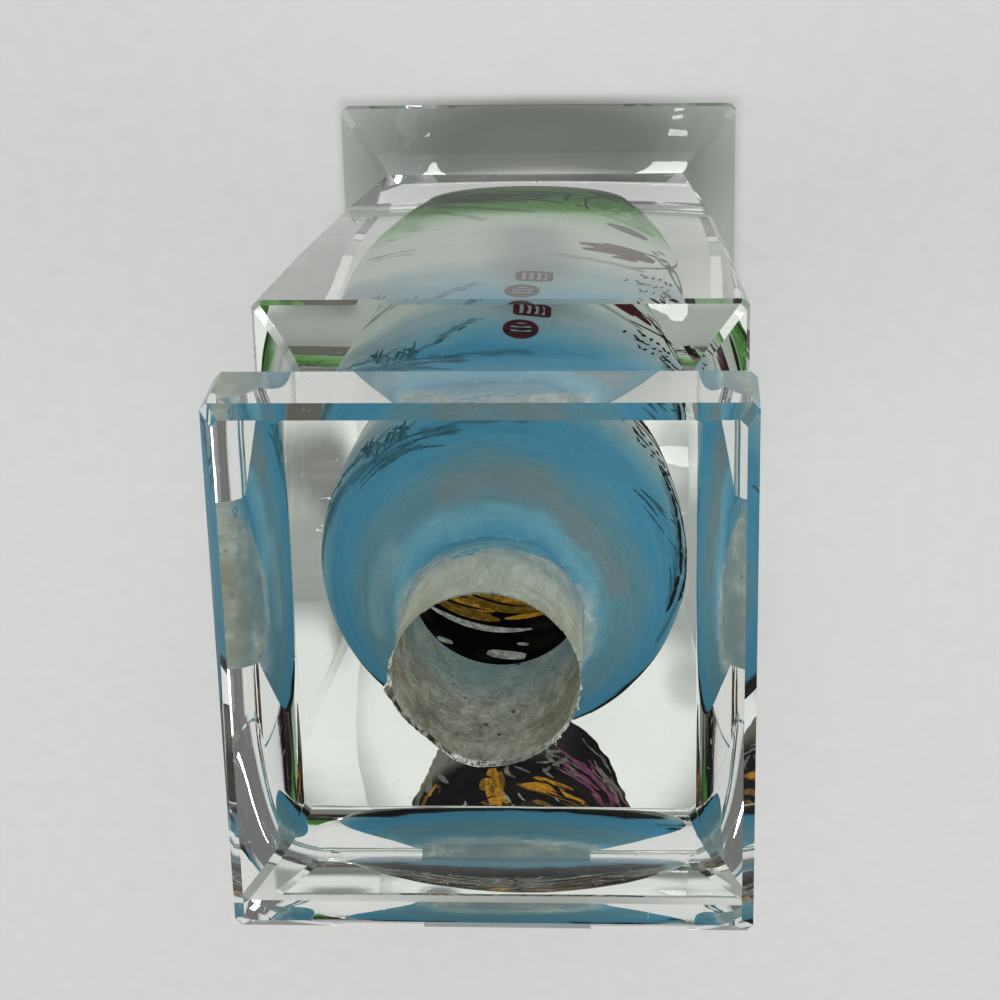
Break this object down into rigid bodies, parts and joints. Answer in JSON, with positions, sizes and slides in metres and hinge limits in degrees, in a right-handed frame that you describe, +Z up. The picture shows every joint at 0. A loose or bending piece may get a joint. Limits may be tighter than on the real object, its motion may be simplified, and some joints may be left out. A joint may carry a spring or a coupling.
{
  "type": "reverse-painted glass vase",
  "caption": "Square-section clear glass vase with a flared foot, bevelled lip, round bore and an inner cavity painted from within.",
  "frame": {"origin": "centre of the foot's underside", "axes": "+Z up along the vase's axis, towards the mouth; -Y is the front, with the main painting; X runs across the front"},
  "size_m": [0.0706, 0.0758, 0.158],
  "materials": {
    "clear_glass": "polished clear lead glass, see-through, with bevelled edges; the bore is ground and frosted",
    "inside_painting": "thin matt paint on the cavity wall: sky blue and grey, a green foot, red seals and tiger-coloured brush strokes on the front"
  },
  "bodies": {
    "root": {"glass_vase": "clear_glass"}
  },
  "joints": []
}
